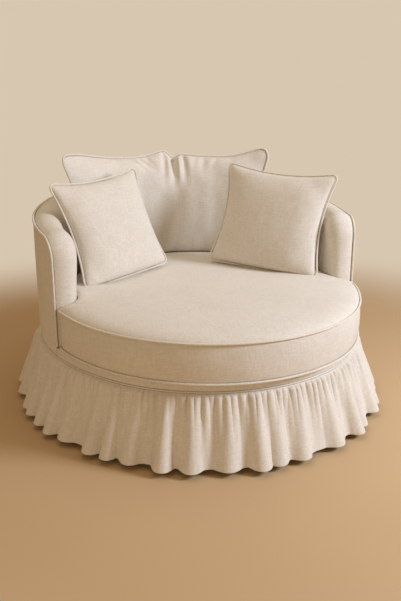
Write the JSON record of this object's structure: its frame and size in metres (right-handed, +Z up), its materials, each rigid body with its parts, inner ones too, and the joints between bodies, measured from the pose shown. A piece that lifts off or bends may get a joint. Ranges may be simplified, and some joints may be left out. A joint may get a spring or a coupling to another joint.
{
  "type": "round lounge chair",
  "caption": "Oversized round lounge chair with a low barrel back, a deep round seat cushion, a curved back cushion, two loose pillows and a gathered skirt over a swivel base.",
  "frame": {"origin": "centre of the footprint on the floor, on the axis that the chair swivels about", "axes": "+Z up; the chair faces -Y, so +Y runs to the back of the barrel; +X is the sitter's left hand side, at the right of a viewer in front"},
  "size_m": [1.4022, 1.4822, 0.8972],
  "materials": {
    "glide_plastic": "matte",
    "plywood": "matte",
    "hardwood": "matte",
    "steel": "satin",
    "cage_plastic": "matte",
    "jute_webbing": "matte",
    "board": "matte",
    "foam": "matte",
    "fibre_wadding": "matte",
    "cream_linen": "matte",
    "dark_cloth": "matte",
    "zip_nylon": "matte"
  },
  "bodies": {
    "base": {"floor_glides": "glide_plastic", "floor_ring": "plywood", "cross_bar_lower": "hardwood", "cross_bar_upper": "hardwood", "swivel_lower_plate": "steel", "lower_plate_screws": "steel", "bearing_balls": "steel", "ball_cage": "cage_plastic", "pivot_rivet": "steel"},
    "chair": {"swivel_upper_plate": "steel", "upper_plate_bolts": "steel", "bearers": "hardwood", "bearer_screws": "steel", "bottom_ring": "plywood", "frame_studs": "hardwood", "seat_ring": "plywood", "webbing_lengthways": "jute_webbing", "webbing_crossways": "jute_webbing", "back_posts": "hardwood", "top_rail": "plywood", "arm_front_stiles": "hardwood", "outer_board": "board", "front_board": "board", "inner_board": "board", "wall_foam": "foam", "inside_cover": "cream_linen", "outside_wadding": "fibre_wadding", "outside_cover": "cream_linen", "wall_piping": "cream_linen", "front_wadding": "fibre_wadding", "border_band": "cream_linen", "border_welt": "cream_linen", "skirt_tape": "jute_webbing", "skirt": "cream_linen", "deck_pad": "fibre_wadding", "deck_cloth": "dark_cloth", "dust_cover": "dark_cloth"},
    "seat_cushion": {"seat_core": "foam", "seat_wrap": "fibre_wadding", "seat_cover": "cream_linen", "seat_piping_upper": "cream_linen", "seat_piping_lower": "cream_linen", "seat_zip": "zip_nylon"},
    "back_cushion": {"back_cushion_insert": "fibre_wadding", "back_cushion_cover": "cream_linen", "back_cushion_piping": "cream_linen", "back_cushion_zip": "zip_nylon"},
    "left_pillow": {"left_pillow_insert": "fibre_wadding", "left_pillow_cover": "cream_linen", "left_pillow_piping": "cream_linen", "left_pillow_zip": "zip_nylon"},
    "right_pillow": {"right_pillow_insert": "fibre_wadding", "right_pillow_cover": "cream_linen", "right_pillow_piping": "cream_linen", "right_pillow_zip": "zip_nylon"}
  },
  "joints": [
    {"name": "swivel", "type": "hinge", "parent": "base", "child": "chair", "pos_m": [0, 0, 0.057], "axis": [0, 0, 1], "continuous": true},
    {"name": "seat_lift", "type": "slide", "parent": "chair", "child": "seat_cushion", "axis": [0, 0, 1], "range_m": [0, 0.5]},
    {"name": "back_lift", "type": "slide", "parent": "seat_cushion", "child": "back_cushion", "axis": [0, 0, 1], "range_m": [0, 0.35]},
    {"name": "pillow_left_lift", "type": "slide", "parent": "seat_cushion", "child": "left_pillow", "axis": [0, 0, 1], "range_m": [0, 0.3]},
    {"name": "pillow_right_lift", "type": "slide", "parent": "seat_cushion", "child": "right_pillow", "axis": [0, 0, 1], "range_m": [0, 0.3]}
  ]
}
